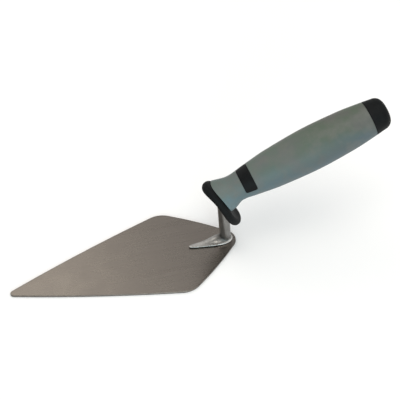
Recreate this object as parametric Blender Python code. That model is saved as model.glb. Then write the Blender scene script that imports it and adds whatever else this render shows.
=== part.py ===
"""Brick trowel, pointing pattern, with a two-colour moulded handle.

Frame: metres. The origin is on the blade's underside, on the centre line, below the foot of the shank.
+X runs from the blade's tip towards the handle, +Z is up and the blade lies flat on z = 0.
"""
import math

import bmesh
import bpy
import numpy as np
from mathutils import Matrix, Vector

MM = 0.001
GAP = 0.3                      # clearance between neighbouring pieces, mm

# ---- driving dimensions, mm ---------------------------------------------------------------------
# Blade: a kite with every corner rounded and sides that bow out very slightly.
BLADE_TIP_X = -147.8           # where the straight sides would meet in front
BLADE_HEEL_X = 11.9            # where they would meet behind
BLADE_CORNER_X = -34.0         # station of the widest point
BLADE_CORNER_Y = 35.7          # half width, before rounding
BLADE_T = 1.2
TIP_R = 2.3
CORNER_R = 14.4
HEEL_R = 8.6
LONG_SIDE_BOW = 1.2
SHORT_SIDE_BOW = 0.8
EDGE_BREAK = 0.25              # small chamfer on the blade's rim and the foot's edge
TIP_STEPS = 10                 # facets round the tip's arc
CORNER_STEPS = 12              # and round each of the other corners
SIDE_STEPS = 8                 # and along each bowed side

# Tang: low leaf-shaped foot, round shank leaning forward, tight bend, tapered spike inside the handle.
SHANK_D = 7.2
SHANK_LEAN = 4.2               # degrees forward of upright
FOOT_FRONT = -25.1
FOOT_WIDEST_X = -1.9
FOOT_BACK = 4.5
FOOT_HALF_W = 5.0
FOOT_TAPER = ((FOOT_FRONT, 0.0), (-24.5, 0.85), (-15.4, 2.5), (-6.6, 4.4), (FOOT_WIDEST_X, FOOT_HALF_W))
FOOT_EDGE_H = 1.0
CREASE_FRONT_H = 4.2           # height above the foot's underside where its ramp meets the shank in front
CREASE_BACK_H = 1.4            # and behind
CREASE_NARROWS = 3.0           # more keeps the high part of the crease closer to the front
FOOT_DRAW_IN = 1.6             # how quickly the leaf draws in to the shank as it rises
FOOT_RISE = 1.5                # above 1 makes the ramp hollow
FOOT_STEPS = (0.14, 0.34, 0.56, 0.78, 1.0)
SHANK_START_H = 5.0            # the plain round shank starts here
BEND_R = 8.0
SPIKE_LEN = 74.0
SPIKE_END_D = 4.6
SPIKE_SHARES = (0.25, 0.5, 0.75, 0.97)
SPIKE_POINT = 0.8              # chamfer on the end of the spike
SHANK_RINGS = 4
BEND_STEPS = 9
TANG_SEGMENTS = 40
TANG_CROWDING = 0.45           # crowds the ring's points towards the pointed front of the foot

# Handle: straight axis, tilted up from the blade.
HANDLE_TILT = 19.7             # degrees above the blade
AXIS_X = -1.18                 # a point on the handle axis; stations s are measured from it
AXIS_Z = 43.75
NECK_S = 8.0
DROP_END_S = 11.5              # the section is centred on the axis from here back
NECK_R = 9.0
BELLY_R = 13.8
CAP_S = 101.0                  # seam between sleeve and end cap
END_S = 113.0
DOME_CENTRE_R = 1.5            # radius of the flat spot left in the middle
DOME_FLATNESS = 0.55           # 1 is a round dome, less is flatter with tighter corners
CORNER_S = 106.5               # where the cap starts to round over
CORNER_RADIUS = 10.55
CAP_SIDE_RINGS = 4
DOME_RINGS = 8
GRIP_STATIONS = ((-8.0, 12.55), (-1.5, 11.15), (2.0, 10.35), (NECK_S, NECK_R), (18.0, 10.35), (34.0, 12.4),
                 (62.0, BELLY_R), (84.0, 13.05), (CAP_S, 11.3), (CORNER_S, CORNER_RADIUS))
DROP_STATIONS = ((-8.0, 1.3), (2.0, 1.7), (NECK_S, 0.35), (DROP_END_S, 0.0))
FRONT_S = -14.0                # the sleeve's blank starts here and is trimmed to the guard
FLARE_RINGS = 13
FLARE_END = 1.5                # the flare's rings stop this far before the neck
BODY_RINGS = 25

# Core and its fit inside the sleeve.
CORE_STATIONS = ((12.0, 6.6), (26.0, 7.4), (62.0, 9.6), (CAP_S, 7.6))
CORE_RINGS = (12.0, 26.0, 36.0, 46.8, 57.6, 68.4, 79.2, 90.0, CAP_S - GAP)
PLUG_R = 4.4
PLUG_LEN = 8.0
PLUG_LEAD = 0.7                # chamfer on the plug's nose
SOCKET_EXTRA = 1.2             # the socket is this much deeper than the plug is long

# Thumb band let into the upper half of the neck.
BAND_S0 = 11.8
BAND_S1 = 19.4
BAND_T = 1.2
BAND_HALF_ANGLE = 86.0         # degrees each side of the top
BAND_POINTS = 25               # points round its outside
BAND_RINGS = 5

# Finger guard: an egg-shaped plate with a full-round rim. Its top curls forward, its bottom back.
GUARD_T = 5.2
GUARD_S = -4.6                 # plate centre in handle stations
GUARD_DROP = 6.3               # plate centre below the handle axis
GUARD_HALF_H = 18.0            # to the middle of the rounded rim
GUARD_HALF_W = 10.8
GUARD_FACE_RINGS = (0.35, 0.7)
GUARD_RIM_RINGS = 7
CURL_STEPS = 24                # steps in which the curl is summed up
GUARD_EGG = 0.18               # how much wider the lower half is than the upper
GUARD_TILT = 24.6              # elevation of the plate's normal at its centre, degrees
GUARD_CURL = 0.09              # growth of that elevation with the distance from the centre squared

# The cutter that trims core and sleeve to the guard's back face.
TRIM_REACH = 26.0
TRIM_RINGS = 27
TRIM_FORWARD = Vector((-60.0, 0.0, -10.0))

# Weld spots between foot and blade.
WELD_R = 1.8
WELD_T = 0.9
WELD_EDGE = 0.2
WELD_POCKET = 0.6
WELD_X = (-13.0, 1.0)
OVERCUT = 1.0                  # how far a cutter runs past the face it opens

ROUND = 48                     # segments round the handle
FINE = 32                      # segments round the core
SMALL = 24                     # segments round small holes and weld spots

# ---- finishes: colour, roughness, metallic ------------------------------------------------------
BLADE_STEEL = ((0.27, 0.245, 0.225), 0.38, 1.0)
TANG_STEEL = ((0.42, 0.405, 0.385), 0.36, 1.0)
WELD_STEEL = ((0.24, 0.22, 0.21), 0.55, 1.0)
CORE_PLASTIC = ((0.02, 0.02, 0.021), 0.6, 0.0)
BLACK_PLASTIC = ((0.015, 0.015, 0.016), 0.55, 0.0)
BAND_PLASTIC = ((0.016, 0.016, 0.017), 0.5, 0.0)
GRIP_RUBBER = ((0.155, 0.19, 0.175), 0.5, 0.0)
SHARP_ANGLE = 35.0             # edges sharper than this stay crisp

# ---- frames -------------------------------------------------------------------------------------
TILT = math.radians(HANDLE_TILT)
AXIS = Vector((math.cos(TILT), 0.0, math.sin(TILT)))
LIFT = Vector((-math.sin(TILT), 0.0, math.cos(TILT)))
SIDE = Vector((0.0, 1.0, 0.0))
AXIS_POINT = Vector((AXIS_X, 0.0, AXIS_Z))


def on_handle(s, angle, radius, drop=0.0):
    """Point at station s, at an angle measured from straight up, round the handle axis."""
    out = LIFT * (math.cos(angle) * radius - drop) + SIDE * (math.sin(angle) * radius)
    return AXIS_POINT + AXIS * s + out


def through(points, x):
    """Monotone cubic curve through a few (x, y) points."""
    xs = [p[0] for p in points]
    ys = [p[1] for p in points]
    slopes = [(ys[i + 1] - ys[i]) / (xs[i + 1] - xs[i]) for i in range(len(xs) - 1)]
    tangents = [slopes[0]]
    for a, b in zip(slopes, slopes[1:]):
        tangents.append(0.0 if a * b <= 0.0 else 2.0 * a * b / (a + b))
    tangents.append(slopes[-1])
    if x <= xs[0]:
        return ys[0]
    i = min(sum(1 for v in xs[1:-1] if x > v), len(xs) - 2)
    span = xs[i + 1] - xs[i]
    t = min((x - xs[i]) / span, 1.0)
    start = ys[i] * (1 + 2 * t) * (1 - t) ** 2 + tangents[i] * span * t * (1 - t) ** 2
    end = ys[i + 1] * t * t * (3 - 2 * t) + tangents[i + 1] * span * t * t * (t - 1)
    return start + end


def grip_radius(s):
    """Outer radius of the handle."""
    return through(GRIP_STATIONS, s)


def grip_drop(s):
    """How far the section hangs below the handle axis where the sleeve flares in front of its neck."""
    return through(DROP_STATIONS, min(s, DROP_END_S))


def core_radius(s):
    """Outer radius of the hard core."""
    return through(CORE_STATIONS, s)


# ---- mesh helpers -------------------------------------------------------------------------------
def new_object(name, verts, faces):
    """Make an object from points in mm, with its faces turned outwards."""
    mesh = bpy.data.meshes.new(name)
    mesh.from_pydata([tuple(Vector(v) * MM) for v in verts], [], faces)
    obj = bpy.data.objects.new(name, mesh)
    bpy.context.scene.collection.objects.link(obj)
    work = bmesh.new()
    work.from_mesh(mesh)
    bmesh.ops.recalc_face_normals(work, faces=work.faces)
    work.to_mesh(mesh)
    work.free()
    return obj


def skin(name, rings):
    """Closed solid skinned over equal rings of points, with flat ends."""
    count = len(rings[0])
    verts = [p for ring in rings for p in ring]
    faces = [tuple(range(count))[::-1]]
    for r in range(len(rings) - 1):
        a = r * count
        b = a + count
        for i in range(count):
            j = (i + 1) % count
            faces.append((a + i, a + j, b + j, b + i))
    faces.append(tuple(range((len(rings) - 1) * count, len(rings) * count)))
    return new_object(name, verts, faces)


def tube(name, outer, inner):
    """Closed hollow solid: rings outside from front to back, rings inside from front to back."""
    count = len(outer[0])
    loop = outer + inner[::-1]
    verts = [p for ring in loop for p in ring]
    faces = []
    for r in range(len(loop)):
        a = r * count
        b = ((r + 1) % len(loop)) * count
        for i in range(count):
            j = (i + 1) % count
            faces.append((a + i, a + j, b + j, b + i))
    return new_object(name, verts, faces)


def circle(s, radius, drop=0.0, segments=ROUND):
    """Ring round the handle axis."""
    return [on_handle(s, 2 * math.pi * i / segments, radius, drop) for i in range(segments)]


def stations(start, stop, count):
    """Evenly spaced stations, both ends included."""
    return [float(v) for v in np.linspace(start, stop, count)]


def cut(target, cutter):
    """Take a cutter out of a piece and throw the cutter away."""
    mod = target.modifiers.new("cut", "BOOLEAN")
    mod.operation = "DIFFERENCE"
    mod.solver = "EXACT"
    mod.object = cutter
    bpy.context.view_layer.update()
    evaluated = target.evaluated_get(bpy.context.evaluated_depsgraph_get())
    fresh = bpy.data.meshes.new_from_object(evaluated)
    target.modifiers.clear()
    old = target.data
    target.data = fresh
    bpy.data.meshes.remove(old)
    bpy.data.objects.remove(cutter)


def finish(obj, look):
    """Give a piece its material and its shading."""
    colour, roughness, metallic = look
    mat = bpy.data.materials.new(obj.name + "_material")
    mat.use_nodes = True
    shader = mat.node_tree.nodes["Principled BSDF"]
    shader.inputs["Base Color"].default_value = (*colour, 1.0)
    shader.inputs["Roughness"].default_value = roughness
    shader.inputs["Metallic"].default_value = metallic
    mat.diffuse_color = (*colour, 1.0)
    obj.data.materials.clear()
    obj.data.materials.append(mat)
    obj.data.shade_smooth()
    obj.data.set_sharp_from_angle(angle=math.radians(SHARP_ANGLE))


# ---- blade --------------------------------------------------------------------------------------
def rounded_corner(before, corner, after, radius, steps):
    """Arc that rounds a corner between two straight sides."""
    to_a = (before - corner).normalized()
    to_b = (after - corner).normalized()
    half = to_a.angle(to_b) / 2
    centre = corner + (to_a + to_b).normalized() * (radius / math.sin(half))
    start = corner + to_a * (radius / math.tan(half)) - centre
    sweep = math.pi - 2 * half
    turn = 1 if to_a.cross(to_b).z < 0 else -1
    return [centre + Matrix.Rotation(turn * sweep * k / steps, 3, "Z") @ start for k in range(steps + 1)]


def bowed(a, b, bow, steps):
    """Points strictly between a and b on a side that bows outwards."""
    out = (b - a).cross(Vector((0, 0, 1))).normalized()
    if out.dot(a + b - Vector((2 * BLADE_CORNER_X, 0, 0))) < 0:
        out = -out
    fractions = [k / steps for k in range(1, steps)]
    return [a.lerp(b, f) + out * (bow * 4 * f * (1 - f)) for f in fractions]


def blade_outline():
    """Outline of the blade, once round."""
    tip = Vector((BLADE_TIP_X, 0, 0))
    far = Vector((BLADE_CORNER_X, BLADE_CORNER_Y, 0))
    heel = Vector((BLADE_HEEL_X, 0, 0))
    near = Vector((BLADE_CORNER_X, -BLADE_CORNER_Y, 0))
    corners = (rounded_corner(near, tip, far, TIP_R, TIP_STEPS),
               rounded_corner(tip, far, heel, CORNER_R, CORNER_STEPS),
               rounded_corner(far, heel, near, HEEL_R, CORNER_STEPS),
               rounded_corner(heel, near, tip, CORNER_R, CORNER_STEPS))
    bows = (LONG_SIDE_BOW, SHORT_SIDE_BOW, SHORT_SIDE_BOW, LONG_SIDE_BOW)
    outline = []
    for i, arc in enumerate(corners):
        following = corners[(i + 1) % len(corners)]
        outline += arc + bowed(arc[-1], following[0], bows[i], SIDE_STEPS)
    return outline


def inset(outline, amount):
    """The outline moved inwards."""
    moved = []
    for i, p in enumerate(outline):
        along = outline[(i + 1) % len(outline)] - outline[i - 1]
        inward = Vector((0, 0, 1)).cross(along).normalized()
        if inward.dot(Vector((BLADE_CORNER_X, 0, 0)) - p) < 0:
            inward = -inward
        moved.append(p + inward * amount)
    return moved


def upright_ring(x, radius, z):
    """Ring of points round a vertical line on the centre plane."""
    turns = [2 * math.pi * i / SMALL for i in range(SMALL)]
    return [Vector((x + radius * math.cos(a), radius * math.sin(a), z)) for a in turns]


def weld_pocket_cutter(x, z0, z1):
    """Round cutter for the hollow a weld spot sits in."""
    return skin("cutter", [upright_ring(x, WELD_R + GAP, z) for z in (z0, z1)])


def make_blade():
    outline = blade_outline()
    small = inset(outline, EDGE_BREAK)
    levels = ((small, 0.0), (outline, EDGE_BREAK), (outline, BLADE_T - EDGE_BREAK), (small, BLADE_T))
    blade = skin("blade", [[p + Vector((0, 0, z)) for p in ring] for ring, z in levels])
    for x in WELD_X:
        cut(blade, weld_pocket_cutter(x, BLADE_T - WELD_POCKET, BLADE_T + OVERCUT))
    finish(blade, BLADE_STEEL)


# ---- tang ---------------------------------------------------------------------------------------
LEAN = math.radians(SHANK_LEAN)
SHANK_UP = Vector((-math.sin(LEAN), 0, math.cos(LEAN)))


def tang_angle(i):
    """Ring angles, closer together towards the pointed front of the foot."""
    t = 2 * math.pi * i / TANG_SEGMENTS
    return t + TANG_CROWDING * math.sin(t)


def foot_outline(grow=0.0):
    """Leaf shape: a round back end and a long, nearly straight taper to a blunt tip in front."""
    points = []
    for i in range(TANG_SEGMENTS):
        angle = tang_angle(i)
        if math.cos(angle) > 0.0:
            reach = FOOT_BACK - FOOT_WIDEST_X
            across = math.sin(angle)
        else:
            reach = FOOT_WIDEST_X - FOOT_FRONT
            half_width = through(FOOT_TAPER, FOOT_WIDEST_X + reach * math.cos(angle))
            across = math.copysign(half_width / FOOT_HALF_W, math.sin(angle))
        x = FOOT_WIDEST_X + (reach + grow) * math.cos(angle)
        points.append(Vector((x, (FOOT_HALF_W + grow) * across, 0)))
    return points


def crease_height(i):
    """Height of the crease between foot and shank, highest in front."""
    forward = ((1 - math.cos(tang_angle(i))) / 2) ** CREASE_NARROWS
    return CREASE_BACK_H + (CREASE_FRONT_H - CREASE_BACK_H) * forward


def shank_point(i, height):
    """Point on the shank's surface at a height above the foot's underside."""
    across = Vector((SHANK_UP.z, 0, -SHANK_UP.x))
    angle = tang_angle(i)
    out = across * math.cos(angle) + SIDE * math.sin(angle)
    return Vector((0, 0, BLADE_T + GAP)) + SHANK_UP * height + out * (SHANK_D / 2)


def tang_path():
    """Centre line of shank, bend and spike as (point, direction, radius)."""
    base = BLADE_T + GAP
    # The shank's line and the handle axis cross at the corner of the bend.
    height = (AXIS_Z - base - AXIS_X * math.tan(TILT)) / (math.cos(LEAN) + math.sin(LEAN) * math.tan(TILT))
    corner = Vector((0, 0, base)) + SHANK_UP * height
    turn = SHANK_UP.angle(AXIS)
    tangent = BEND_R * math.tan(turn / 2)
    bend_start = corner - SHANK_UP * tangent
    centre = bend_start + Vector((SHANK_UP.z, 0, -SHANK_UP.x)) * BEND_R
    path = []
    straight = (bend_start - Vector((0, 0, base))).length
    for along in stations(SHANK_START_H, straight, SHANK_RINGS):
        path.append((Vector((0, 0, base)) + SHANK_UP * along, SHANK_UP, SHANK_D / 2))
    for k in range(1, BEND_STEPS + 1):
        rotation = Matrix.Rotation(turn * k / BEND_STEPS, 3, "Y")
        path.append((centre + rotation @ (bend_start - centre), rotation @ SHANK_UP, SHANK_D / 2))
    spike_start = path[-1][0]
    for f in SPIKE_SHARES:
        radius = SHANK_D / 2 + (SPIKE_END_D - SHANK_D) / 2 * f
        path.append((spike_start + AXIS * (SPIKE_LEN * f), AXIS, radius))
    path.append((spike_start + AXIS * SPIKE_LEN, AXIS, SPIKE_END_D / 2 - SPIKE_POINT))
    return path


def path_ring(point, direction, radius):
    """Ring square to the centre line."""
    back = Vector((direction.z, 0, -direction.x))
    ring = []
    for i in range(TANG_SEGMENTS):
        angle = tang_angle(i)
        ring.append(point + back * (radius * math.cos(angle)) + SIDE * (radius * math.sin(angle)))
    return ring


def make_tang():
    base = BLADE_T + GAP
    outline = foot_outline()
    levels = ((foot_outline(-EDGE_BREAK), 0.0), (outline, EDGE_BREAK), (outline, FOOT_EDGE_H - EDGE_BREAK))
    rings = [[p + Vector((0, 0, base + z)) for p in ring] for ring, z in levels]
    small = foot_outline(-EDGE_BREAK)
    rings.append([p + Vector((0, 0, base + FOOT_EDGE_H)) for p in small])
    for t in FOOT_STEPS:
        toward = 1 - (1 - t) ** FOOT_DRAW_IN
        ring = []
        for i, edge in enumerate(small):
            crease = shank_point(i, crease_height(i))
            low = base + FOOT_EDGE_H
            p = edge.lerp(Vector((crease.x, crease.y, 0)), toward)
            ring.append(Vector((p.x, p.y, low + (crease.z - low) * t ** FOOT_RISE)))
        rings.append(ring)
    rings += [path_ring(*step) for step in tang_path()]
    tang = skin("tang", rings)
    for x in WELD_X:
        cut(tang, weld_pocket_cutter(x, base - OVERCUT, base + WELD_POCKET))
    finish(tang, TANG_STEEL)


def tang_cutter():
    """The hole the tang runs in, as one grown sweep starting just above the foot."""
    grown = [path_ring(p, d, r + GAP) for p, d, r in tang_path()]
    end = tang_path()[-1]
    grown.append(path_ring(end[0] + AXIS * GAP, AXIS, end[2] + GAP))
    return skin("cutter", grown)


def make_welds():
    middle = BLADE_T + GAP / 2
    half = WELD_T / 2
    profile = ((WELD_R - WELD_EDGE, -half), (WELD_R, WELD_EDGE - half), (WELD_R, half - WELD_EDGE),
               (WELD_R - WELD_EDGE, half))
    for name, x in zip(("weld_front", "weld_rear"), WELD_X):
        finish(skin(name, [upright_ring(x, r, middle + z) for r, z in profile]), WELD_STEEL)


# ---- finger guard -------------------------------------------------------------------------------
def guard_tilt(down):
    """Elevation of the plate's normal at a distance down the plate, in radians."""
    return math.radians(GUARD_TILT + GUARD_CURL * down * down)


def guard_point(down, across, out):
    """Point on the curled plate: mm down it, across it, and out from its middle towards the grip."""
    x = 0.0
    z = 0.0
    for k in range(CURL_STEPS):
        angle = guard_tilt(down * (k + 0.5) / CURL_STEPS)
        x += math.sin(angle) * down / CURL_STEPS
        z -= math.cos(angle) * down / CURL_STEPS
    angle = guard_tilt(down)
    middle = AXIS_POINT + AXIS * GUARD_S - LIFT * GUARD_DROP
    return middle + Vector((x + out * math.cos(angle), across, z + out * math.sin(angle)))


def make_guard():
    half = GUARD_T / 2
    rim = [(math.cos(a), half * math.sin(a)) for a in stations(-math.pi / 2, math.pi / 2, GUARD_RIM_RINGS)]
    # Each level is (share of the plate's half sizes, share of the rim's radius added, height).
    levels = [(f, 0.0, -half) for f in GUARD_FACE_RINGS]
    levels += [(1.0, out, height) for out, height in rim]
    levels += [(f, 0.0, half) for f in GUARD_FACE_RINGS[::-1]]
    rings = []
    for share, out, height in levels:
        ring = []
        for i in range(ROUND):
            a = 2 * math.pi * i / ROUND
            down = (GUARD_HALF_H * share + half * out) * math.cos(a)
            across = (GUARD_HALF_W * share + half * out) * math.sin(a) * (1 + GUARD_EGG * math.cos(a))
            ring.append(guard_point(down, across, height))
        rings.append(ring)
    guard = skin("finger_guard", rings)
    cut(guard, tang_cutter())
    finish(guard, BLACK_PLASTIC)


def front_trim():
    """Cutter that removes everything in front of the guard's back face."""
    clear = GUARD_T / 2 + GAP
    back_face = [guard_point(down, 0.0, clear) for down in stations(-TRIM_REACH, TRIM_REACH, TRIM_RINGS)]
    profile = back_face + [back_face[-1] + TRIM_FORWARD, back_face[0] + TRIM_FORWARD]
    return skin("cutter", [[p + SIDE * y for p in profile] for y in (-TRIM_REACH, TRIM_REACH)])


# ---- handle core, sleeve, band and cap ----------------------------------------------------------
def make_core():
    rings = [circle(s, core_radius(s), 0.0, FINE) for s in (FRONT_S, *CORE_RINGS)]
    core = skin("handle_core", rings)
    cut(core, front_trim())
    cut(core, tang_cutter())
    socket = (CAP_S - PLUG_LEN - SOCKET_EXTRA, CAP_S + SOCKET_EXTRA)
    cut(core, skin("cutter", [circle(s, PLUG_R + GAP, 0.0, SMALL) for s in socket]))
    finish(core, CORE_PLASTIC)


def band_points(s0, s1, depth, above, widen):
    """Rings for the half-round band: a patch over the handle's upper half, given some thickness."""
    rings = []
    half = math.radians(BAND_HALF_ANGLE) + widen
    angles = stations(-half, half, BAND_POINTS)
    for s in stations(s0, s1, BAND_RINGS):
        outer = [on_handle(s, a, grip_radius(s) + above) for a in angles]
        inner = [on_handle(s, a, grip_radius(s) - depth) for a in angles]
        rings.append(outer + inner[::-1])
    return rings


def make_band():
    angle_gap = GAP / NECK_R
    band = skin("thumb_band", band_points(BAND_S0, BAND_S1, BAND_T, 0.0, 0.0))
    finish(band, BAND_PLASTIC)
    return skin("cutter", band_points(BAND_S0 - GAP, BAND_S1 + GAP, BAND_T + GAP, OVERCUT, angle_gap))


def make_sleeve():
    front = stations(FRONT_S, NECK_S - FLARE_END, FLARE_RINGS)
    body = stations(NECK_S, CAP_S - GAP, BODY_RINGS)
    outer = [circle(s, grip_radius(s), grip_drop(s)) for s in front + body]
    inner = [circle(s, core_radius(s) + GAP) for s in (FRONT_S, *CORE_RINGS)]
    sleeve = tube("grip_sleeve", outer, inner)
    cut(sleeve, front_trim())
    cut(sleeve, tang_cutter())
    cut(sleeve, make_band())
    finish(sleeve, GRIP_RUBBER)


def make_cap():
    dome = [(s, grip_radius(s)) for s in stations(CAP_S, CORNER_S, CAP_SIDE_RINGS)]
    for a in stations(0.0, math.pi / 2, DOME_RINGS)[1:-1]:
        dome.append((CORNER_S + (END_S - CORNER_S) * math.sin(a), CORNER_RADIUS * math.cos(a) ** DOME_FLATNESS))
    plug_end = CAP_S - PLUG_LEN
    plug = [(plug_end, PLUG_R - PLUG_LEAD), (plug_end + PLUG_LEAD, PLUG_R), (CAP_S, PLUG_R)]
    rings = [circle(s, r) for s, r in plug + dome + [(END_S, DOME_CENTRE_R)]]
    finish(skin("end_cap", rings), BLACK_PLASTIC)


# ---- build --------------------------------------------------------------------------------------
for old in list(bpy.data.objects):
    bpy.data.objects.remove(old)

make_blade()
make_tang()
make_welds()
make_guard()
make_core()
make_sleeve()
make_cap()
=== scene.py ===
"""Looks of the brick trowel: finer visible pieces, materials, studio light and camera.

Lengths in the shape sections are in millimetres, in the row frame: +X runs from the blade's tip
towards the handle and +Z is up.
"""
import math

import bmesh
import bpy
import numpy as np
from mathutils import Matrix, Vector, noise


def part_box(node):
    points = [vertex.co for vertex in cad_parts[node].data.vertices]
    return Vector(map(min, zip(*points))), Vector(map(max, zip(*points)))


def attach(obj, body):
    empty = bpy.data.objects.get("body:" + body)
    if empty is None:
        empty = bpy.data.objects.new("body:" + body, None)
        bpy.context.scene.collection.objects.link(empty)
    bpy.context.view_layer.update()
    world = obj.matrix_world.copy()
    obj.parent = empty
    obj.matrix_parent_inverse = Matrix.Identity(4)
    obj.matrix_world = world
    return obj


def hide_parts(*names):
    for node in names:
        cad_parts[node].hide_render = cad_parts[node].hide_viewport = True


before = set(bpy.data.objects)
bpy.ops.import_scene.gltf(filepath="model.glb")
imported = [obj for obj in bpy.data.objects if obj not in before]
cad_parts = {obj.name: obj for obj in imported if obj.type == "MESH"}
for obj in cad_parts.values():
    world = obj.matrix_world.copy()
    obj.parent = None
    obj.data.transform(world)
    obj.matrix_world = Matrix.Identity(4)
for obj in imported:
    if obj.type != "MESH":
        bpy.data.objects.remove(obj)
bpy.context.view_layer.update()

MM = 0.001
BODY = "root"
SHARP = math.radians(38.0)             # edges sharper than this stay crisp


# ---- handle frame: the same lines and profiles as the CAD source ---------------------------------
TILT = math.radians(19.7)
AXIS = Vector((math.cos(TILT), 0.0, math.sin(TILT)))
LIFT = Vector((-math.sin(TILT), 0.0, math.cos(TILT)))
SIDE = Vector((0.0, 1.0, 0.0))
AXIS_POINT = Vector((-1.18, 0.0, 43.75))

# Stations run along the handle's axis from AXIS_POINT. Profiles are (station, radius) pairs.
NECK_S = 8.0
DROP_END_S = 11.5                      # the section is centred on the axis from here back
CAP_S = 101.0                          # seam between sleeve and cap
CORNER_S = 106.5                       # where the cap starts to round over
END_S = 113.0
GRIP = ((-8.0, 12.55), (-1.5, 11.15), (2.0, 10.35), (NECK_S, 9.0), (18.0, 10.35), (34.0, 12.4),
        (62.0, 13.8), (84.0, 13.05), (CAP_S, 11.3), (CORNER_S, 10.55))
DROP = ((-8.0, 1.3), (2.0, 1.7), (NECK_S, 0.35), (DROP_END_S, 0.0))
CORE = ((12.0, 6.6), (26.0, 7.4), (62.0, 9.6), (CAP_S, 7.6))


def through(points, x):
    """Monotone cubic curve through a few (x, y) points."""
    xs = [p[0] for p in points]
    ys = [p[1] for p in points]
    if x <= xs[0]:
        return ys[0]
    slopes = [(ys[i + 1] - ys[i]) / (xs[i + 1] - xs[i]) for i in range(len(xs) - 1)]
    tangents = [slopes[0]]
    for a, b in zip(slopes, slopes[1:]):
        tangents.append(0.0 if a * b <= 0.0 else 2.0 * a * b / (a + b))
    tangents.append(slopes[-1])
    i = min(sum(1 for v in xs[1:-1] if x > v), len(xs) - 2)
    span = xs[i + 1] - xs[i]
    t = min((x - xs[i]) / span, 1.0)
    start = ys[i] * (1 + 2 * t) * (1 - t) ** 2 + tangents[i] * span * t * (1 - t) ** 2
    end = ys[i + 1] * t * t * (3 - 2 * t) + tangents[i + 1] * span * t * t * (t - 1)
    return start + end


def grip_radius(s):
    return through(GRIP, s)


def grip_drop(s):
    """How far the sleeve's section sits below the axis."""
    return through(DROP, min(s, DROP_END_S))


def core_radius(s):
    return through(CORE, s)


def on_handle(s, angle, radius, drop=0.0):
    """Point at station s, at an angle from straight up, round the handle axis."""
    out = LIFT * (math.cos(angle) * radius - drop) + SIDE * (math.sin(angle) * radius)
    return AXIS_POINT + AXIS * s + out


# ---- mesh helpers -------------------------------------------------------------------------------
def spread(start, stop, count):
    """Evenly spaced values, both ends included."""
    return [float(v) for v in np.linspace(start, stop, count)]


def smooth(t):
    """0 to 1 with soft ends."""
    t = min(max(t, 0.0), 1.0)
    return t * t * (3 - 2 * t)


def new_object(name, verts, faces):
    """Mesh object from points in mm, faces turned outwards."""
    mesh = bpy.data.meshes.new(name)
    mesh.from_pydata([tuple(Vector(v) * MM) for v in verts], [], faces)
    obj = bpy.data.objects.new(name, mesh)
    bpy.context.scene.collection.objects.link(obj)
    work = bmesh.new()
    work.from_mesh(mesh)
    bmesh.ops.recalc_face_normals(work, faces=work.faces)
    work.to_mesh(mesh)
    work.free()
    return obj


def bands(count, rows, closed):
    """Quads between neighbouring rings, and round again to the first ring where closed."""
    faces = []
    for r in range(rows if closed else rows - 1):
        a = r * count
        b = ((r + 1) % rows) * count
        for i in range(count):
            j = (i + 1) % count
            faces.append((a + i, a + j, b + j, b + i))
    return faces


def skin(name, rings):
    """Closed solid over equal rings, with a face across each end."""
    count = len(rings[0])
    faces = [tuple(range(count))[::-1]] + bands(count, len(rings), False)
    faces.append(tuple(range((len(rings) - 1) * count, len(rings) * count)))
    return new_object(name, [p for ring in rings for p in ring], faces)


def tube(name, rings):
    """Closed hollow solid over equal rings that run along the outside and back along the inside."""
    return new_object(name, [p for ring in rings for p in ring], bands(len(rings[0]), len(rings), True))


def cut(target, cutter):
    """Take a cutter out of a piece and throw the cutter away."""
    mod = target.modifiers.new("cut", "BOOLEAN")
    mod.operation = "DIFFERENCE"
    mod.solver = "EXACT"
    mod.object = cutter
    bpy.context.view_layer.update()
    fresh = bpy.data.meshes.new_from_object(target.evaluated_get(bpy.context.evaluated_depsgraph_get()))
    target.modifiers.clear()
    old = target.data
    target.data = fresh
    bpy.data.meshes.remove(old)
    bpy.data.objects.remove(cutter)


def settle(obj, look, node):
    """Shade a piece, give it its material, and let it stand for its CAD node."""
    obj.data.materials.clear()
    obj.data.materials.append(look)
    obj.data.shade_smooth()
    obj.data.set_sharp_from_angle(angle=SHARP)
    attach(obj, BODY)
    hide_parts(node)


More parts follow.
